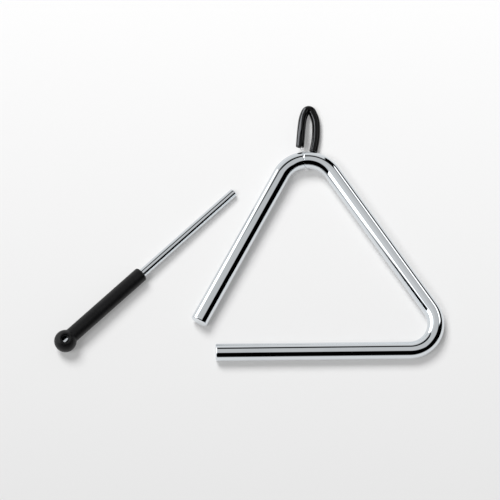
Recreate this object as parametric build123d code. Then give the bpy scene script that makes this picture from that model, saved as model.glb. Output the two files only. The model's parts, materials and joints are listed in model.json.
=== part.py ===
from build123d import *
import math
import os

# Triangle instrument lying on a table: the bent bar, its holder loop above the apex, and the beater beside it.
# Millimetres. X runs along the base leg, Y from the base leg to the apex, Z up.

# Triangle bar: the sides are measured where the axes of the straight legs would meet
bar_diameter = 10.0
corner_bend_radius = 16.4
apex_bend_radius = 18.0
base_side = 163.3
apex_along_base = 76.3
apex_height = 134.4
base_cut_back = 19.7
leg_cut_back = 21.1
bar_end_rounding = 1.0

# Holder line: clear nylon, once round the bar
line_diameter = 0.9
line_gap = 0.4
floor_gap = 0.05
knot_diameter = 2.0
knot_length = 3.4
knot_rounding = 0.5

# Holder sleeve: vinyl tube, folded to a narrow loop
sleeve_diameter = 5.0
sleeve_bore = 2.6

# Beater: the length runs from the ball's centre to the tip of the rod
beater_length = 136.1
rod_diameter = 5.0
rod_tip_rounding = 0.8
rod_past_ball = 3.6
ball_diameter = 13.0
grip_diameter = 8.8
grip_length = 60.7
grip_end_rounding = 1.2
grip_neck_rounding = 2.0
grip_rod_gap = 0.02
core_pin_hole = 4.2
core_pin_flare = 0.9

# Beater's place beside the bar: the ball's centre from the open corner, and the direction that the tip points in
ball_left_of_corner = 67.0
ball_behind_corner = 7.3
beater_heading = 42.4

bar_radius = bar_diameter / 2
line_radius = line_diameter / 2
sleeve_radius = sleeve_diameter / 2
rod_radius = rod_diameter / 2
ball_radius = ball_diameter / 2

# Triangle bar's axis: from the base leg's open end, round the closed corner and the apex, to the other end
open_corner = Vector(0, 0)
closed_corner = Vector(base_side, 0)
apex_corner = Vector(apex_along_base, apex_height)
towards_open = (open_corner - apex_corner).normalized()
towards_closed = (closed_corner - apex_corner).normalized()
base_end = open_corner + Vector(1, 0) * base_cut_back
leg_end = open_corner - towards_open * leg_cut_back

# Highest point of the bar's axis at the apex bend, which the line goes round
half_apex_angle = math.radians(towards_open.get_angle(towards_closed)) / 2
apex_bisector = (towards_open + towards_closed).normalized()
apex_bend_centre = apex_corner + apex_bisector * (apex_bend_radius / math.sin(half_apex_angle))
apex_on_axis = apex_bend_centre + Vector(0, apex_bend_radius)

# The bar lies on its base leg and, at the apex, on the line under it, so it leans a little
apex_lift = line_gap + line_diameter + floor_gap
lean = math.asin(apex_lift / apex_on_axis.Y)
bar_plane = Plane(
    origin=(0, 0, bar_radius), x_dir=(1, 0, 0), z_dir=(0, -math.sin(lean), math.cos(lean))
)
apex_point = bar_plane.from_local_coords(apex_on_axis)


def make_triangle_bar():
    corners = [base_end, closed_corner, apex_corner, leg_end]
    bends = [corner_bend_radius, apex_bend_radius]
    axis = FilletPolyline(*[bar_plane.from_local_coords(corner) for corner in corners], radius=bends)
    bar = sweep(Plane(origin=axis @ 0, z_dir=axis % 0) * Circle(bar_radius), path=axis)
    ends = bar.faces().filter_by(GeomType.PLANE)
    return fillet(ends.edges(), bar_end_rounding)


# Sleeve's route, left mouth to right mouth: X from the apex, Y from the bar's outer edge, height above lying flat
sleeve_route = [
    (-4.05, 2.25, 6.2),
    (-3.5, 8.1, 6.7),
    (-2.6, 14.6, 5.4),
    (-1.65, 20.85, 2.9),
    (-0.8, 25.65, 0.9),
    (1.4, 28.2, 0.1),
    (4.35, 28.2, 0.0),
    (6.35, 26.0, 0.0),
    (6.85, 20.85, 0.0),
    (6.75, 14.15, 0.0),
    (6.0, 7.4, 0.0),
    (4.45, 1.4, 0.2),
]
sleeve_points = [
    Vector(apex_point.X + x, apex_point.Y + bar_radius + y, sleeve_radius + floor_gap + height)
    for x, y, height in sleeve_route
]

# Line's turn round the bar, from the left mouth over the top and back below: X from the apex at each corner
wrap_across = [-2.2, -2.2, -1.4, -0.3, 0.9, 2.1]
wrap_first_angle = 67.5
wrap_step = 45.0
wrap_reach = (bar_radius + line_gap + line_radius) / math.cos(math.radians(wrap_step / 2))
wrap_points = []
for corner_number, across in enumerate(wrap_across):
    angle = math.radians(wrap_first_angle + corner_number * wrap_step)
    around = Vector(across, wrap_reach * math.cos(angle), wrap_reach * math.sin(angle))
    wrap_points.append(apex_point + around)

# Knot inside the sleeve's left leg, where the line's two ends meet
knot_centre = (sleeve_points[1] + sleeve_points[2]) / 2
knot_axis = (sleeve_points[2] - sleeve_points[1]).normalized()
tail_inset = knot_length / 4
line_points = (
    [knot_centre - knot_axis * tail_inset]
    + sleeve_points[1::-1]
    + wrap_points
    + sleeve_points[:1:-1]
    + [knot_centre + knot_axis * tail_inset]
)


def cord_path(name, points):
    """Straight runs joined by tangent arcs, each as large as its two runs allow."""
    share_of_run = 0.45
    radii = []
    for before, corner, after in zip(points, points[1:], points[2:]):
        run_in = corner - before
        run_out = after - corner
        half_turn = math.radians(run_in.get_angle(run_out)) / 2
        radii.append(share_of_run * min(run_in.length, run_out.length) / math.tan(half_turn))
    path = FilletPolyline(*points, radius=radii)
    print(name, "length", round(path.length, 2), "radii", [round(radius, 1) for radius in radii])
    return path


def tube_along(path, radius):
    tube = sweep(Plane(origin=path @ 0, z_dir=path % 0) * Circle(radius), path=path)
    print("volume over section times length", round(tube.volume / (math.pi * radius**2 * path.length), 4))
    return tube


def make_holder_sleeve():
    path = cord_path("holder_sleeve", sleeve_points)
    return tube_along(path, sleeve_radius) - tube_along(path, sleeve_bore / 2)


def make_holder_line():
    path = cord_path("holder_line", line_points)
    knot = Cylinder(knot_diameter / 2, knot_length)
    knot = fillet(knot.edges().filter_by(GeomType.CIRCLE), knot_rounding)
    return tube_along(path, line_radius) + Plane(origin=knot_centre, z_dir=knot_axis) * knot


# Beater's frame: X along its axis from the ball's centre to the tip, sloping down to rest on ball and tip
beater_slope = math.asin((ball_radius - rod_radius) / (beater_length - rod_tip_rounding))
beater_frame = (
    Pos(-ball_left_of_corner, ball_behind_corner, ball_radius)
    * Rot(Z=beater_heading)
    * Rot(Y=math.degrees(beater_slope))
)
along_axis = Rot(Y=90)
from_start = (Align.CENTER, Align.CENTER, Align.MIN)


def make_beater_rod():
    rod_start = -rod_past_ball
    rod = Pos(X=rod_start) * along_axis * Cylinder(rod_radius, beater_length + rod_past_ball, align=from_start)
    tip = rod.faces().sort_by(Axis.X)[-1]
    return beater_frame * fillet(tip.edges(), rod_tip_rounding)


def make_beater_grip():
    profile = Circle(ball_radius) + Pos(X=grip_length / 2) * Rectangle(grip_length, grip_diameter)
    profile = fillet(profile.vertices().sort_by(Axis.X)[:2], grip_neck_rounding)
    profile = fillet(profile.vertices().sort_by(Axis.X)[-2:], grip_end_rounding)
    grip = revolve(split(profile, bisect_by=Plane.XZ), axis=Axis.X)
    bore_start = -rod_past_ball - grip_rod_gap
    bore = Cylinder(rod_radius + grip_rod_gap, grip_length - bore_start, align=from_start)
    grip -= Pos(X=bore_start) * along_axis * bore
    grip -= Cylinder(core_pin_hole / 2, ball_diameter, align=from_start)
    hole_rim = grip.edges().filter_by(GeomType.CIRCLE).sort_by(Axis.Z)[-1]
    return beater_frame * fillet(hole_rim, core_pin_flare)


parts = {
    "triangle_bar": make_triangle_bar(),
    "holder_sleeve": make_holder_sleeve(),
    "holder_line": make_holder_line(),
    "beater_rod": make_beater_rod(),
    "beater_grip": make_beater_grip(),
}

# Origin below the middle of the bar and the beater, on the table
rigid = Compound([parts["triangle_bar"], parts["beater_rod"], parts["beater_grip"]]).bounding_box()
to_origin = Pos(-rigid.center().X, -rigid.center().Y, -rigid.min.Z)

os.makedirs("parts", exist_ok=True)
for name, solid in parts.items():
    export_step(to_origin * solid, f"parts/{name}.step")

# Places that the joints and mounts use
print("apex axis", to_origin.position + apex_point)
print("base leg's open end", to_origin.position + bar_plane.from_local_coords(base_end))
print("beater tip", (to_origin * beater_frame * Pos(X=beater_length)).position)
print("sleeve fold", to_origin.position + (sleeve_points[5] + sleeve_points[6]) / 2)
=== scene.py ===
import json
import math

import bmesh
import bpy
from mathutils import Matrix, Vector


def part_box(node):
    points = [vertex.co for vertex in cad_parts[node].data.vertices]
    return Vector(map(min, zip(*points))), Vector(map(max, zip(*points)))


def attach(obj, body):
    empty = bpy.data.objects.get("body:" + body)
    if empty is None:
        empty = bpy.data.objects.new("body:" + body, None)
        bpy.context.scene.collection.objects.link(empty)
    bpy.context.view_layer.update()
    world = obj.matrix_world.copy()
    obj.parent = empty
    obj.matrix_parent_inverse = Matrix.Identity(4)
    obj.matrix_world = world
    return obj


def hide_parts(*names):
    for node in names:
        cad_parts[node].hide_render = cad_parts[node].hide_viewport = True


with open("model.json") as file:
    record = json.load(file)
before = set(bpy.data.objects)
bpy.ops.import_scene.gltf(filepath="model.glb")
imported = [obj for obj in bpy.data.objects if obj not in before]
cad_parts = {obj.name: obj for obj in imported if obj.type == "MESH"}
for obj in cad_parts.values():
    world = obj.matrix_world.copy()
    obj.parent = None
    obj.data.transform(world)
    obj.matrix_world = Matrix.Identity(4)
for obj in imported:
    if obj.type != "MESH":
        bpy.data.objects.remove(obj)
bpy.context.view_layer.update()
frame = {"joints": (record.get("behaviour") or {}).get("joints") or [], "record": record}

# Triangle bar
# One round steel rod, bent twice and left open at its left corner, then polished and chromed.
# It lies on its base leg and, at the apex, on the holder's line, so it leans by about half a degree.
bar_radius = 0.0050
corner_bend_radius = 0.0164
apex_bend_radius = 0.0180
base_side = 0.1633
apex_along_base = 0.0763
apex_height = 0.1344
base_cut_back = 0.0197
leg_cut_back = 0.0211
bar_end_rounding = 0.0010
chrome_clean = (0.680, 0.712, 0.738, 1)
chrome_hazed = (0.655, 0.690, 0.718, 1)

# Rings of the mesh; those on the flat of an end and just past its rounding keep the shading of both true
bar_sides = 128
bend_rings = 150
rounding_rings = 8
flat_ring_shares = [0.0, 0.60, 0.97]
past_rounding = 1.1
sharp_angle = math.radians(40)

open_corner = Vector((0, 0, 0))
closed_corner = Vector((base_side, 0, 0))
apex_corner = Vector((apex_along_base, apex_height, 0))
towards_open = (open_corner - apex_corner).normalized()
towards_closed = (closed_corner - apex_corner).normalized()
half_apex_angle = towards_open.angle(towards_closed) / 2
apex_bisector = (towards_open + towards_closed).normalized()
apex_bend_centre = apex_corner + apex_bisector * (apex_bend_radius / math.sin(half_apex_angle))
apex_on_axis = apex_bend_centre + Vector((0, apex_bend_radius, 0))


def named(rows, name):
    """The one of the frame's rows that has this name."""
    return next(row for row in rows if row["name"] == name)


apex_point = Vector(named(frame["joints"], "holder_swing")["pos_m"])
lean = math.asin((apex_point.z - bar_radius) / apex_on_axis.y)
leaning = Matrix.Rotation(lean, 3, "X")
bar_up = leaning @ Vector((0, 0, 1))
scene = bpy.context.scene


def on_bar_axis(place):
    """A place of the flat layout, where the bar's axis holds it."""
    return apex_point + leaning @ (place - apex_on_axis)


def put_in_scene(name, data):
    """A new object of the scene, made from a mesh, a curve, a light or a camera."""
    added = bpy.data.objects.new(name, data)
    scene.collection.objects.link(added)
    return added


def ring_of_points(centre, across, up, radius, sides):
    """Points round a circle, or its centre alone where the radius is zero."""
    if radius == 0:
        return [centre]
    turn = 2 * math.pi / sides
    return [
        centre + across * (radius * math.cos(turn * k)) + up * (radius * math.sin(turn * k))
        for k in range(sides)
    ]


def skin_rings(name, rings, joined_ends=False):
    """A smooth mesh over rings of points, each joined to the next; a ring of one point closes an end."""
    maker = bmesh.new()
    vertex_rings = [[maker.verts.new(point) for point in ring] for ring in rings]
    pairs = list(zip(vertex_rings, vertex_rings[1:]))
    if joined_ends:
        pairs.append((vertex_rings[-1], vertex_rings[0]))
    for ring, next_ring in pairs:
        for k in range(max(len(ring), len(next_ring))):
            corners = [
                ring[k % len(ring)],
                ring[(k + 1) % len(ring)],
                next_ring[(k + 1) % len(next_ring)],
                next_ring[k % len(next_ring)],
            ]
            face = maker.faces.new(list(dict.fromkeys(corners)))
            face.smooth = True
    bmesh.ops.recalc_face_normals(maker, faces=maker.faces)
    mesh = bpy.data.meshes.new(name)
    maker.to_mesh(mesh)
    maker.free()
    mesh.set_sharp_from_angle(angle=sharp_angle)
    return put_in_scene(name, mesh)


def profile_arc(centre, radius, first_angle, last_angle, steps):
    """Points of an arc in a profile's plane, from one angle to another in degrees."""
    step_angle = (last_angle - first_angle) / steps
    points = []
    for k in range(steps + 1):
        angle = math.radians(first_angle + step_angle * k)
        points.append((centre[0] + radius * math.cos(angle), centre[1] + radius * math.sin(angle)))
    return points


def rounded_end(radius, rounding):
    """A round bar's end from its middle outwards, as pairs of setback and radius."""
    flat_radius = radius - rounding
    flat = [(0.0, share * flat_radius) for share in flat_ring_shares]
    edge = profile_arc((rounding, flat_radius), rounding, 180, 90, rounding_rings)
    return flat + edge + [(past_rounding * rounding, radius)]


def round_bend(before, corner, after, bend_radius):
    """Places and directions along a round bend between two straight runs that would meet at a corner."""
    inward = (before - corner).normalized()
    outward = (after - corner).normalized()
    half_angle = inward.angle(outward) / 2
    centre = corner + (inward + outward).normalized() * (bend_radius / math.sin(half_angle))
    first = corner + inward * (bend_radius / math.tan(half_angle))
    turn = math.pi - 2 * half_angle
    turning_axis = outward.cross(inward).normalized()
    for k in range(bend_rings + 1):
        turned = Matrix.Rotation(turn * k / bend_rings, 3, turning_axis)
        yield centre + turned @ (first - centre), turned @ -inward


def make_triangle_bar():
    base_end = on_bar_axis(open_corner + Vector((base_cut_back, 0, 0)))
    closed = on_bar_axis(closed_corner)
    apex = on_bar_axis(apex_corner)
    leg_end = on_bar_axis(open_corner - towards_open * leg_cut_back)
    base_direction = (closed - base_end).normalized()
    leg_direction = (leg_end - apex).normalized()
    end_profile = rounded_end(bar_radius, bar_end_rounding)
    bends = [
        (base_end, closed, apex, corner_bend_radius),
        (closed, apex, leg_end, apex_bend_radius),
    ]

    stations = []
    for setback, radius in end_profile:
        stations.append((base_end + base_direction * setback, base_direction, radius))
    for bend in bends:
        stations += [(place, direction, bar_radius) for place, direction in round_bend(*bend)]
    for setback, radius in reversed(end_profile):
        stations.append((leg_end - leg_direction * setback, leg_direction, radius))
    rings = [
        ring_of_points(place, direction.cross(bar_up), bar_up, radius, bar_sides)
        for place, direction, radius in stations
    ]
    return skin_rings("chromed_bar", rings)


class Signal:
    """A shader socket in Python sums: each operator adds its Math node to the socket's node tree."""

    def __init__(self, tree, socket=None):
        self.tree = tree
        self.socket = socket

    def node(self, kind, settings=None, sockets=None, output=0):
        """Adds a node: first its settings, then the value or link of each named or numbered socket."""
        added = self.tree.nodes.new("ShaderNode" + kind)
        for name, value in (settings or {}).items():
            setattr(added, name, value)
        for name, value in (sockets or {}).items():
            if isinstance(value, Signal):
                self.tree.links.new(value.socket, added.inputs[name])
            else:
                added.inputs[name].default_value = value
        return Signal(self.tree, added.outputs[output] if added.outputs else None)

    def beside(self, output):
        """Another output of the node that this signal comes from."""
        return Signal(self.tree, self.socket.node.outputs[output])

    def sum_node(self, operation, first, second):
        return self.node("Math", {"operation": operation}, {0: first, 1: second})

    def __add__(self, other):
        return self.sum_node("ADD", self, other)

    def __sub__(self, other):
        return self.sum_node("SUBTRACT", self, other)

    def __rsub__(self, other):
        return self.sum_node("SUBTRACT", other, self)

    def __mul__(self, other):
        return self.sum_node("MULTIPLY", self, other)

    def __truediv__(self, other):
        return self.sum_node("DIVIDE", self, other)

    def __neg__(self):
        return self.sum_node("MULTIPLY", self, -1.0)

    __radd__ = __add__
    __rmul__ = __mul__

    def at_least(self, limit):
        return self.sum_node("MAXIMUM", self, limit)

    def rise(self, low, high):
        """0 below low, 1 above high and a smooth step between."""
        settings = {"interpolation_type": "SMOOTHSTEP"}
        return self.node("MapRange", settings, {"Value": self, "From Min": low, "From Max": high})

    def fall(self, low, high):
        """1 below low, 0 above high and a smooth step between."""
        return 1 - self.rise(low, high)

    def tint(self, first_colour, last_colour):
        """A colour between two, by this signal."""
        return self.node("Mix", {"data_type": "RGBA"}, {0: self, 6: first_colour, 7: last_colour}, output=2)

    def noise(self, scale, detail):
        """A noise pattern over this signal's places, with about as many patches to a metre as its scale."""
        return self.node("TexNoise", {}, {"Vector": self, "Scale": scale, "Detail": detail})


def new_finish(name):
    """A material with an empty node tree, and the places on the piece that its pattern follows."""
    finish = bpy.data.materials.new(name)
    finish.use_nodes = True
    finish.node_tree.nodes.clear()
    return finish, Signal(finish.node_tree).node("TexCoord", output="Object")


def lay_finish(relief, strength, depth, shader_values):
    """Gives a material its surface, from the shader's values and a fine relief."""
    bump = relief.node("Bump", {}, {"Strength": strength, "Distance": depth, "Height": relief})
    surface = relief.node("BsdfPrincipled", {}, {**shader_values, "Normal": bump})
    relief.node("OutputMaterial", {}, {"Surface": surface})


def polished_chrome():
    """Bright chrome plate: a clean mirror with a faint haze where fingers and cloths have been."""
    finish, place = new_finish("polished_chrome")
    haze = place.noise(scale=55.0, detail=3.0).rise(0.45, 0.75)
    specks = place.noise(scale=900.0, detail=1.0).rise(0.62, 0.80)
    ripple = place.noise(scale=160.0, detail=1.0)
    lay_finish(ripple, strength=0.02, depth=0.0002, shader_values={
        "Base Color": haze.tint(chrome_clean, chrome_hazed),
        "Metallic": 1.0,
        "Roughness": 0.025 + 0.030 * haze + 0.015 * specks,
    })
    return finish


chrome = polished_chrome()
chromed_bar = make_triangle_bar()
chromed_bar.data.materials.append(chrome)
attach(chromed_bar, "triangle")
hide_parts("triangle_bar")

# Holder sleeve
# A short piece of soft black vinyl tube, folded to a narrow loop; a finger or a clip holds it.
# Its right leg lies on the table, and the line lifts its left mouth on to the bar's shoulder.
sleeve_radius = 0.0025
sleeve_bore_radius = 0.00130
sleeve_lip = 0.00035
floor_gap = 0.00005
sleeve_sides = 64
lip_rings = 5
route_steps = 24
vinyl_black = (0.0022, 0.0022, 0.0025, 1)
vinyl_handled = (0.0042, 0.0042, 0.0046, 1)

# Inside the fold: how much of the room there the wall fills, and over how many steps its pressing fades
fold_room = 0.9
fold_blend = 12
least_turn = 0.001

# Left mouth to right mouth: X from the apex, Y from the bar's outer edge, height above lying flat.
# The fold is drawn in to a narrow arch.
sleeve_route = [
    (-0.00405, 0.00225, 0.0062),
    (-0.00350, 0.00810, 0.0067),
    (-0.00260, 0.01460, 0.0054),
    (-0.00160, 0.02060, 0.0029),
    (-0.00030, 0.02480, 0.0009),
    (0.00135, 0.02820, 0.0001),
    (0.00400, 0.02820, 0.0),
    (0.00545, 0.02540, 0.0),
    (0.00680, 0.02085, 0.0),
    (0.00675, 0.01415, 0.0),
    (0.00600, 0.00740, 0.0),
    (0.00445, 0.00140, 0.0002),
]
sleeve_points = [
    Vector((apex_point.x + x, apex_point.y + bar_radius + y, sleeve_radius + floor_gap + height))
    for x, y, height in sleeve_route
]


def lay_route(name, points):
    """A smooth open curve with the points of a route as its control points."""
    curve = bpy.data.curves.new(name, "CURVE")
    curve.dimensions = "3D"
    curve.resolution_u = route_steps
    spline = curve.splines.new("NURBS")
    spline.points.add(len(points) - 1)
    for control, point in zip(spline.points, points):
        control.co = (*point, 1.0)
    spline.order_u = 3
    spline.use_endpoint_u = True
    return put_in_scene(name, curve)


def points_along(route):
    """The points of a route's smooth curve, after which the route itself is no longer needed."""
    line = bpy.data.meshes.new_from_object(route)
    points = [vertex.co.copy() for vertex in line.vertices]
    bpy.data.meshes.remove(line)
    bpy.data.objects.remove(route)
    return points


def make_holder_sleeve(points):
    """A tube with rounded lips along the points, its wall pressed in where the fold leaves no room."""
    last = len(points) - 1
    directions = [(after - before).normalized() for before, after in zip(points, points[1:])]
    directions.append(directions[-1])

    def room_inside(k):
        turn = directions[k - 1].angle(directions[k])
        step = (points[k + 1] - points[k - 1]).length / 2
        return min(1.0, fold_room * step / (sleeve_radius * max(turn, least_turn)))

    rooms = [1.0, *[room_inside(k) for k in range(1, last)], 1.0]

    def ring(k, setback, radius):
        nearby = rooms[max(0, k - fold_blend):k + fold_blend + 1]
        pressed = 1 - sum(nearby) / len(nearby)
        across = directions[k].cross(Vector((0, 0, 1))).normalized()
        centre = points[k] + directions[k] * setback
        circle = ring_of_points(centre, across, across.cross(directions[k]), radius, sleeve_sides)
        return [point - across * (pressed * max(0.0, (point - centre).dot(across))) for point in circle]

    def from_mouths(k):
        return min((points[k] - points[0]).length, (points[k] - points[last]).length)

    inside = [k for k in range(last + 1) if from_mouths(k) > sleeve_lip]
    lip = profile_arc((sleeve_lip, sleeve_radius - sleeve_lip), sleeve_lip, 90, 180, lip_rings)
    lip += profile_arc((sleeve_lip, sleeve_bore_radius + sleeve_lip), sleeve_lip, 180, 270, lip_rings)
    rings = [ring(k, 0, sleeve_radius) for k in inside]
    rings += [ring(last, -setback, radius) for setback, radius in lip]
    rings += [ring(k, 0, sleeve_bore_radius) for k in reversed(inside)]
    rings += [ring(0, setback, radius) for setback, radius in reversed(lip)]
    return skin_rings("vinyl_sleeve", rings, joined_ends=True)


def glossy_vinyl():
    """Soft black vinyl: glossy from the extruder, a little uneven, with the dullness of handling."""
    finish, place = new_finish("glossy_vinyl")
    handling = place.noise(scale=420.0, detail=3.0).rise(0.40, 0.75)
    skin = place.noise(scale=1500.0, detail=2.0)
    wave = place.noise(scale=260.0, detail=1.0)
    lay_finish(wave + 0.08 * skin, strength=0.10, depth=0.0002, shader_values={
        "Base Color": handling.tint(vinyl_black, vinyl_handled),
        "Roughness": 0.05 + 0.06 * handling,
        "IOR": 1.25,
    })
    return finish


sleeve_path = points_along(lay_route("sleeve_route", sleeve_points))
vinyl_sleeve = make_holder_sleeve(sleeve_path)
vinyl_sleeve.data.materials.append(glossy_vinyl())
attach(vinyl_sleeve, "holder")
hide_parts("holder_sleeve")
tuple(sleeve_path[0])

# Holder line
# Clear nylon monofilament, threaded through the sleeve, taken once round the bar at the apex and tied off.
# The knot is pulled into the sleeve's left leg, where it can't be seen.
line_radius = 0.00045
line_gap = 0.0004
thread_roundness = 8
nylon_clear = (0.95, 0.96, 0.97, 1)
nylon_milky = (0.89, 0.91, 0.93, 1)

# Line's turn round the bar, from the left mouth over the top and back below: X from the apex at each corner
wrap_across = [-0.0022, -0.0022, -0.0014, -0.0003, 0.0009, 0.0021]
wrap_first_angle = math.radians(67.5)
wrap_step = math.radians(45.0)
wrap_reach = (bar_radius + line_gap + line_radius) / math.cos(wrap_step / 2)
wrap_points = []
for corner_number, across in enumerate(wrap_across):
    angle = wrap_first_angle + corner_number * wrap_step
    around = Vector((across, wrap_reach * math.cos(angle), wrap_reach * math.sin(angle)))
    wrap_points.append(apex_point + around)

# Knot where the line's two ends meet
knot_length = 0.0034
knot_turns = 4
knot_corners_per_turn = 12
knot_thread_radius = 0.00026
knot_centre = (sleeve_points[1] + sleeve_points[2]) / 2
knot_axis = (sleeve_points[2] - sleeve_points[1]).normalized()
tail_inset = knot_length / 4
line_points = (
    [knot_centre - knot_axis * tail_inset]
    + sleeve_points[1::-1]
    + wrap_points
    + sleeve_points[:1:-1]
    + [knot_centre + knot_axis * tail_inset]
)


def clear_nylon():
    """Clear nylon, slightly milky, with the fine die lines of drawn monofilament."""
    finish, place = new_finish("clear_nylon")
    cloud = place.noise(scale=700.0, detail=2.0).rise(0.35, 0.75)
    die_lines = place.noise(scale=3000.0, detail=1.0)
    lay_finish(die_lines, strength=0.05, depth=0.0001, shader_values={
        "Base Color": cloud.tint(nylon_clear, nylon_milky),
        "Roughness": 0.04 + 0.06 * cloud,
        "IOR": 1.53,
        "Transmission Weight": 1.0,
    })
    return finish


def round_thread(route, radius):
    """Gives a route the round section of a thread, with closed ends."""
    route.data.bevel_depth = radius
    route.data.bevel_resolution = thread_roundness
    route.data.use_fill_caps = True
    return route


def knot_route():
    """The turns of the barrel knot, wound round the line's two ends."""
    across = knot_axis.cross(Vector((0, 0, 1))).normalized()
    up = across.cross(knot_axis)
    winding_radius = line_radius + knot_thread_radius
    winding_length = knot_length - 2 * knot_thread_radius
    steps = knot_turns * knot_corners_per_turn
    points = []
    for k in range(steps + 1):
        angle = 2 * math.pi * k / knot_corners_per_turn
        along = (k / steps - 0.5) * winding_length
        around = across * math.cos(angle) + up * math.sin(angle)
        points.append(knot_centre + knot_axis * along + around * winding_radius)
    return lay_route("nylon_knot", points)


nylon = clear_nylon()
nylon_line = round_thread(lay_route("nylon_line", line_points), line_radius)
nylon_knot = round_thread(knot_route(), knot_thread_radius)
for thread in (nylon_line, nylon_knot):
    thread.data.materials.append(nylon)
    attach(thread, "holder")
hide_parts("holder_line")
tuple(line_points[0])

# Beater rod
# A straight chromed steel rod with a rounded tip; it runs on inside the grip to the middle of the ball.
# The beater lies beside the triangle on its ball and its tip.
rod_radius = 0.0025
rod_tip_rounding = 0.0008
rod_past_ball = 0.0036
beater_length = 0.1361
ball_radius = 0.0065
rod_sides = 96

beater_axis = Vector(named(frame["record"]["mounts"], "beater_shaft")["axis"]).normalized()
beater_side = Vector((0, 0, 1)).cross(beater_axis).normalized()
beater_up = beater_axis.cross(beater_side)

# The ball is the grip's leftmost, nearest and lowest part, so it lies in the lowest corner of its box
ball_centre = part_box("beater_grip")[0] + Vector((ball_radius, ball_radius, ball_radius))


def turn_on_lathe(name, axis, across, profile, sides):
    """A turned piece from pairs of distance along its axis from the ball's centre, and radius."""
    up = axis.cross(across)
    rings = [
        ring_of_points(ball_centre + axis * along, across, up, radius, sides)
        for along, radius in profile
    ]
    return skin_rings(name, rings)


def make_beater_rod():
    tip = rounded_end(rod_radius, rod_tip_rounding)
    profile = [(-rod_past_ball, 0.0), (-rod_past_ball, rod_radius)]
    profile += [(beater_length - setback, radius) for setback, radius in reversed(tip)]
    return turn_on_lathe("chromed_rod", beater_axis, beater_side, profile, rod_sides)


chromed_rod = make_beater_rod()
chromed_rod.data.materials.append(chrome)
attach(chromed_rod, "beater")
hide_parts("beater_rod")

# Beater grip
# A satin black grip with a ball at its end, moulded on to the rod in one shot.
# The pin that held the rod in the mould has left a flared hole in the ball, where the rod shows.
grip_radius = 0.0044
grip_length = 0.0607
grip_end_rounding = 0.0012
grip_neck_rounding = 0.0020
grip_rod_gap = 0.00002
core_pin_radius = 0.0021
core_pin_flare = 0.0009
grip_black = (0.0030, 0.0030, 0.0033, 1)
grip_rubbed = (0.0050, 0.0050, 0.0055, 1)

# Sides and rings of the mesh; the flare stops some degrees short of where it would only touch the ball
grip_sides = 160
ball_rings = 90
neck_rings = 12
grip_end_rings = 10
core_pin_sides = 96
flare_rings = 10
flare_stops_short = 6


def grip_profile():
    """From the ball's pole, over its neck and along the grip to its end, and back along the bore."""
    neck_centre_radius = grip_radius + grip_neck_rounding
    neck_distance = ball_radius + grip_neck_rounding
    neck_along = math.sqrt(neck_distance**2 - neck_centre_radius**2)
    neck_angle = math.degrees(math.asin(neck_centre_radius / neck_distance))
    neck_centre = (neck_along, neck_centre_radius)
    end_centre = (grip_length - grip_end_rounding, grip_radius - grip_end_rounding)
    bore_radius = rod_radius + grip_rod_gap
    bore_start = -rod_past_ball - grip_rod_gap
    profile = [(-ball_radius, 0.0)]
    profile += profile_arc((0, 0), ball_radius, 180, neck_angle, ball_rings)[1:]
    profile += profile_arc(neck_centre, grip_neck_rounding, neck_angle - 180, -90, neck_rings)[1:]
    profile += profile_arc(end_centre, grip_end_rounding, 90, 0, grip_end_rings)
    profile += [(grip_length, bore_radius), (bore_start, bore_radius), (bore_start, 0.0)]
    return profile


def core_pin_profile():
    """The hole of the core pin, from the rod outwards, with a flared mouth that meets the ball."""
    flare_centre_radius = core_pin_radius + core_pin_flare
    flare_distance = ball_radius - core_pin_flare
    flare_height = math.sqrt(flare_distance**2 - flare_centre_radius**2)
    flare_centre = (flare_centre_radius, flare_height)
    touching_angle = math.degrees(math.asin(flare_height / flare_distance))
    flare = profile_arc(flare_centre, core_pin_flare, 180, touching_angle + flare_stops_short, flare_rings)
    outside = 2 * ball_radius
    profile = [(0.0, 0.0), (0.0, core_pin_radius)]
    profile += [(height, radius) for radius, height in flare]
    profile += [(ball_radius, ball_radius), (outside, ball_radius), (outside, 0.0)]
    return profile


def make_beater_grip():
    grip = turn_on_lathe("moulded_grip", beater_axis, beater_side, grip_profile(), grip_sides)
    core_pin = turn_on_lathe("core_pin", beater_up, beater_axis, core_pin_profile(), core_pin_sides)
    cut = grip.modifiers.new("core_pin_hole", "BOOLEAN")
    cut.operation = "DIFFERENCE"
    cut.solver = "EXACT"
    cut.object = core_pin
    bpy.context.view_layer.update()
    whole = grip.data
    with_hole = grip.evaluated_get(bpy.context.evaluated_depsgraph_get())
    grip.data = bpy.data.meshes.new_from_object(with_hole)
    grip.modifiers.clear()
    bpy.data.objects.remove(core_pin)
    bpy.data.meshes.remove(whole)
    grip.data.set_sharp_from_angle(angle=sharp_angle)
    return grip


def satin_grip():
    """Black moulded rubber-plastic: satin, with its mould's fine spark texture and a few rubbed spots."""
    finish, place = new_finish("satin_grip")
    texture = place.noise(scale=5200.0, detail=2.0)
    rubbed = place.noise(scale=130.0, detail=3.0).rise(0.48, 0.78)
    lay_finish(texture, strength=0.12, depth=0.0001, shader_values={
        "Base Color": rubbed.tint(grip_black, grip_rubbed),
        "Roughness": 0.50 - 0.10 * rubbed,
        "IOR": 1.33,
    })
    return finish


moulded_grip = make_beater_grip()
moulded_grip.data.materials.clear()
moulded_grip.data.materials.append(satin_grip())
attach(moulded_grip, "beater")
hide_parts("beater_grip")

# Table
# A plain pale sheet, a little darker towards the viewer. A share of it glows evenly, painted light like that
# of a sheet lit from all round, so that shadows on it stay light; a larger share glows, in the sheet's
# palest colour, where a glossy piece mirrors it.
table_half_side = 3.0
shade_near = -0.148
shade_far = 0.158
sheet_near = (0.80, 0.80, 0.80, 1)
sheet_far = (0.99, 0.99, 0.99, 1)
even_share = 0.26
reflected_share = 0.60

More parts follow.
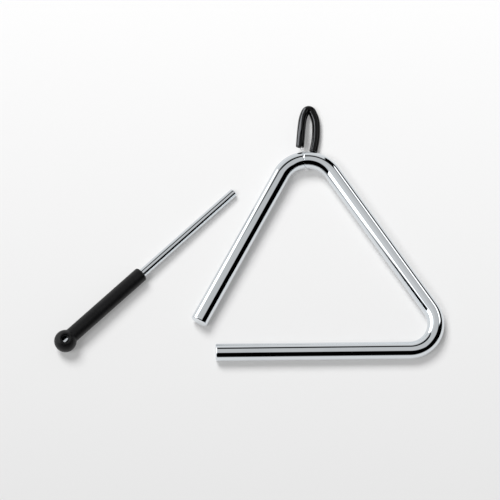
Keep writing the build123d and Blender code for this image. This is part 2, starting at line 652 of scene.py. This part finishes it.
table_corners = [
    (x * table_half_side, y * table_half_side, 0)
    for x, y in [(-1, -1), (1, -1), (1, 1), (-1, 1)]
]
table_mesh = bpy.data.meshes.new("table")
table_mesh.from_pydata(table_corners, [], [(0, 1, 2, 3)])
table = put_in_scene("table", table_mesh)


def unscattered(light_path):
    """1 on a ray that has met no matt surface since the camera, 0 on any other."""
    return light_path.beside("Diffuse Depth").fall(0.1, 0.9)


def pale_sheet():
    """The table's matt sheet, with its even share of light."""
    finish, place = new_finish("pale_sheet")
    towards_far = place.node("SeparateXYZ", {}, {"Vector": place}, output="Y")
    shade_sockets = {"Value": towards_far, "From Min": shade_near, "From Max": shade_far}
    colour = place.node("MapRange", {}, shade_sockets).tint(sheet_near, sheet_far)
    seen = place.node("LightPath", output="Is Camera Ray")
    through = seen.beside("Is Transmission Ray") * unscattered(seen)
    reflected = seen.beside("Is Glossy Ray") * unscattered(seen) * (1 - through)
    sheet = place.node("BsdfDiffuse", {}, {"Color": colour})
    # Painted light: the sheet's glow, in its palest colour wherever a glossy piece mirrors it
    even_light = place.node("Emission", {}, {"Color": reflected.tint(colour, sheet_far)})
    share = even_share * seen.at_least(through) + reflected_share * reflected
    surface = place.node("MixShader", {}, {0: share, 1: sheet, 2: even_light})
    place.node("OutputMaterial", {}, {"Surface": surface})
    finish.cycles.emission_sampling = "NONE"
    return finish


table_mesh.materials.append(pale_sheet())

# Studio
# Metal and gloss mirror white walls to the left and the far right, a light far wall and a grey roof, with a
# dark gap between those two, and towards the viewer a dark room with a low grey strip.
# Matt surfaces are lit by a soft sky, a key lamp and a weaker fill lamp.
left_grey_glow = 0.80
left_white_glow = 2.40
right_glow = 2.00
far_glow = 0.88
front_glow = 0.45
roof_glow = 0.70
backdrop = 0.93
sky_share = 0.14
fill_share = 0.20
key_share = 1 - sky_share - fill_share
least_distance = 0.001

studio = bpy.data.worlds.new("studio")
scene.world = studio
studio.use_nodes = True
studio.node_tree.nodes.clear()
view = Signal(studio.node_tree).node("TexCoord", output="Generated")
view_x = view.node("SeparateXYZ", {}, {"Vector": view}, output="X")
view_y = view_x.beside("Y")
view_z = view_x.beside("Z")


def between(signal, low, high, softness):
    """1 from low to high, with soft edges to 0 on both sides."""
    return signal.rise(low - softness, low + softness) * signal.fall(high - softness, high + softness)


def wall(towards, along):
    """A flat wall: 1 where the view meets it, then how far along and how high, as shares of its distance."""
    distance = towards.at_least(least_distance)
    met = towards.rise(least_distance, 10 * least_distance)
    return met, along / distance, view_z / distance


# Each wall's edges are soft steps along it and up it, and its light is their product with its glow
left, left_along, left_height = wall(-view_x, view_y)
left_edges = left_along.rise(-0.434, -0.396) * left_along.fall(1.12, 1.28)
left_low_front = left_along.fall(-0.10, 0.20) * left_height.fall(0.08, 0.18)
left_white = left_height.fall(1.00, 1.25) * (1 - left_low_front)
left_light = left * left_edges * (left_grey_glow + (left_white_glow - left_grey_glow) * left_white)

right, right_along, right_height = wall(view_x, view_y)
right_edges = between(right_along, 0.28, 1.20, 0.06) * between(right_height, 0.60, 1.30, 0.10)
right_light = right * right_edges * right_glow

far, far_along, far_height = wall(view_y, view_x)
far_light = far * between(far_along, -0.86, 0.49, 0.03) * far_height.fall(0.60, 1.10) * far_glow

front, front_along, front_height = wall(-view_y, view_x)
front_light = front * between(front_along, -2.0, 4.0, 0.10) * front_height.fall(0.10, 0.16) * front_glow

# The roof's far edge slants away from the middle on both sides, in a curve on the left
roof_height = view_z.at_least(least_distance)
roof_across = view_x / roof_height
roof_along = view_y / roof_height
roof_left = (-roof_across).at_least(0.0)
roof_slant = 0.22 * roof_across.at_least(0.0) + 0.28 * roof_left + 0.34 * roof_left * roof_left
roof_edges = roof_along.rise(-0.48, -0.36) * (roof_along - roof_slant).fall(0.49, 0.57)
roof_light = between(roof_across, -0.95, 0.62, 0.08) * roof_edges * roof_glow
mirrored = left_light.at_least(right_light).at_least(far_light).at_least(front_light).at_least(roof_light)

camera_ray = view.node("LightPath", output="Is Camera Ray")
in_mirror = camera_ray.beside("Is Glossy Ray") * unscattered(camera_ray)
strength = in_mirror * mirrored + camera_ray * backdrop + (1 - in_mirror - camera_ray) * sky_share
sky = view.node("Background", {}, {"Color": (1, 1, 1, 1), "Strength": strength})
view.node("OutputWorld", {}, {"Surface": sky})


def add_lamp(name, azimuth, elevation, breadth, share):
    """A broad lamp far away, by its angles in degrees and its share of the light on the table."""
    direction = math.radians(azimuth)
    height = math.radians(elevation)
    light = bpy.data.lights.new(name, "SUN")
    light.angle = math.radians(breadth)
    light.energy = share * math.pi / math.sin(height)
    lamp = put_in_scene(name, light)
    towards_lamp = Vector((math.cos(direction), math.sin(direction), math.tan(height)))
    lamp.rotation_euler = towards_lamp.to_track_quat("Z", "Y").to_euler()
    lamp.visible_glossy = False


add_lamp("key_lamp", azimuth=125.0, elevation=53.5, breadth=28.0, share=key_share)
add_lamp("fill_lamp", azimuth=209.0, elevation=57.0, breadth=20.0, share=fill_share)

# The black sleeve alone mirrors a large softbox to the left, which draws the light bands along its legs.
# The softbox reaches below the table's top, and the table doesn't hide it from the sleeve.
softbox_glow = 12.0
softbox_width = 1.50
softbox_height = 1.80
softbox_colour = (0.92, 0.95, 1.0)
towards_softbox = Vector((-0.77, 0.62, 0.10))
softbox_light = bpy.data.lights.new("softbox", "AREA")
softbox_light.shape = "RECTANGLE"
softbox_light.size = softbox_width
softbox_light.size_y = softbox_height
softbox_light.color = softbox_colour
softbox_light.energy = softbox_glow * math.pi * softbox_width * softbox_height
softbox = put_in_scene("softbox", softbox_light)
softbox.location = apex_point + towards_softbox
softbox.rotation_euler = towards_softbox.to_track_quat("Z", "Y").to_euler()
softbox.visible_camera = False
softbox.visible_diffuse = False
sleeve_alone = bpy.data.collections.new("sleeve_alone")
sleeve_alone.objects.link(vinyl_sleeve)
softbox.light_linking.receiver_collection = sleeve_alone
softbox.light_linking.blocker_collection = sleeve_alone

# Camera
# A long lens high above the table, a little to the left and turned so that the base leg lies level.
# It is aimed at a place within the triangle, measured from the open corner.
camera_azimuth = math.radians(-14.0)
camera_elevation = math.radians(72.0)
camera_roll = math.radians(12.89)
camera_distance = 1.400
camera_lens = 171.06
target_from_corner = Vector((0.0405, 0.0593, -0.0020))
target_right_of_middle = -0.00128
target_above_middle = -0.00325

backwards = Vector((
    math.sin(camera_azimuth) * math.cos(camera_elevation),
    -math.cos(camera_azimuth) * math.cos(camera_elevation),
    math.sin(camera_elevation),
))
level_right = Vector((math.cos(camera_azimuth), math.sin(camera_azimuth), 0))
level_up = backwards.cross(level_right)
rolled_right = level_right * math.cos(camera_roll) + level_up * math.sin(camera_roll)
rolled_up = level_up * math.cos(camera_roll) - level_right * math.sin(camera_roll)
camera_target = on_bar_axis(open_corner) + target_from_corner
aim = camera_target - rolled_right * target_right_of_middle - rolled_up * target_above_middle

camera_data = bpy.data.cameras.new("camera")
camera_data.lens = camera_lens
camera = put_in_scene("camera", camera_data)
camera.matrix_world = (
    Matrix.Translation(aim + backwards * camera_distance)
    @ Matrix((rolled_right, rolled_up, backwards)).transposed().to_4x4()
)
scene.camera = camera
scene.view_settings.view_transform = "Standard"
